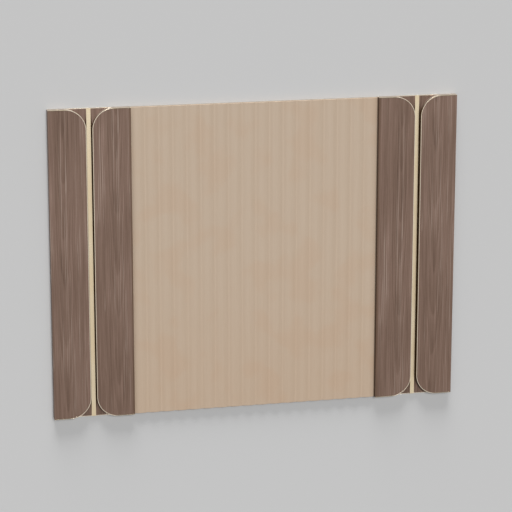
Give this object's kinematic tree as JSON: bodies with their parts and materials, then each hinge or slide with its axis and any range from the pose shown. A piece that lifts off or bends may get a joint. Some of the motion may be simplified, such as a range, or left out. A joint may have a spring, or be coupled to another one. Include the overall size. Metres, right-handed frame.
{
  "type": "decorative wall panel",
  "caption": "Wall-height decorative panel with a pale reeded centre between walnut side units, each with raised round-cornered boards, thin brass edging and a brass strip in the channel.",
  "frame": {"origin": "middle of the back face, which is the underside as the panel lies flat", "axes": "+X across the width, +Y along the height towards the top edge, +Z out of the front face"},
  "size_m": [3.56, 2.69, 0.067],
  "materials": {
    "walnut": "matt lacquered grey-brown walnut veneer, grain along the height",
    "pale_wood": "matt pale wood with soft warm clouds, grain along the height",
    "brass": "satin pale champagne brass",
    "backing": "plain unfinished board"
  },
  "bodies": {
    "root": {"centre_backing": "backing", "reeded_board": "pale_wood", "left_back_board": "walnut", "right_back_board": "walnut", "back_end_trims": "brass", "left_outer_board": "walnut", "left_inner_board": "walnut", "right_inner_board": "walnut", "right_outer_board": "walnut", "left_outer_edging": "brass", "left_inner_edging": "brass", "right_inner_edging": "brass", "right_outer_edging": "brass", "left_channel_strip": "brass", "right_channel_strip": "brass"}
  },
  "joints": []
}
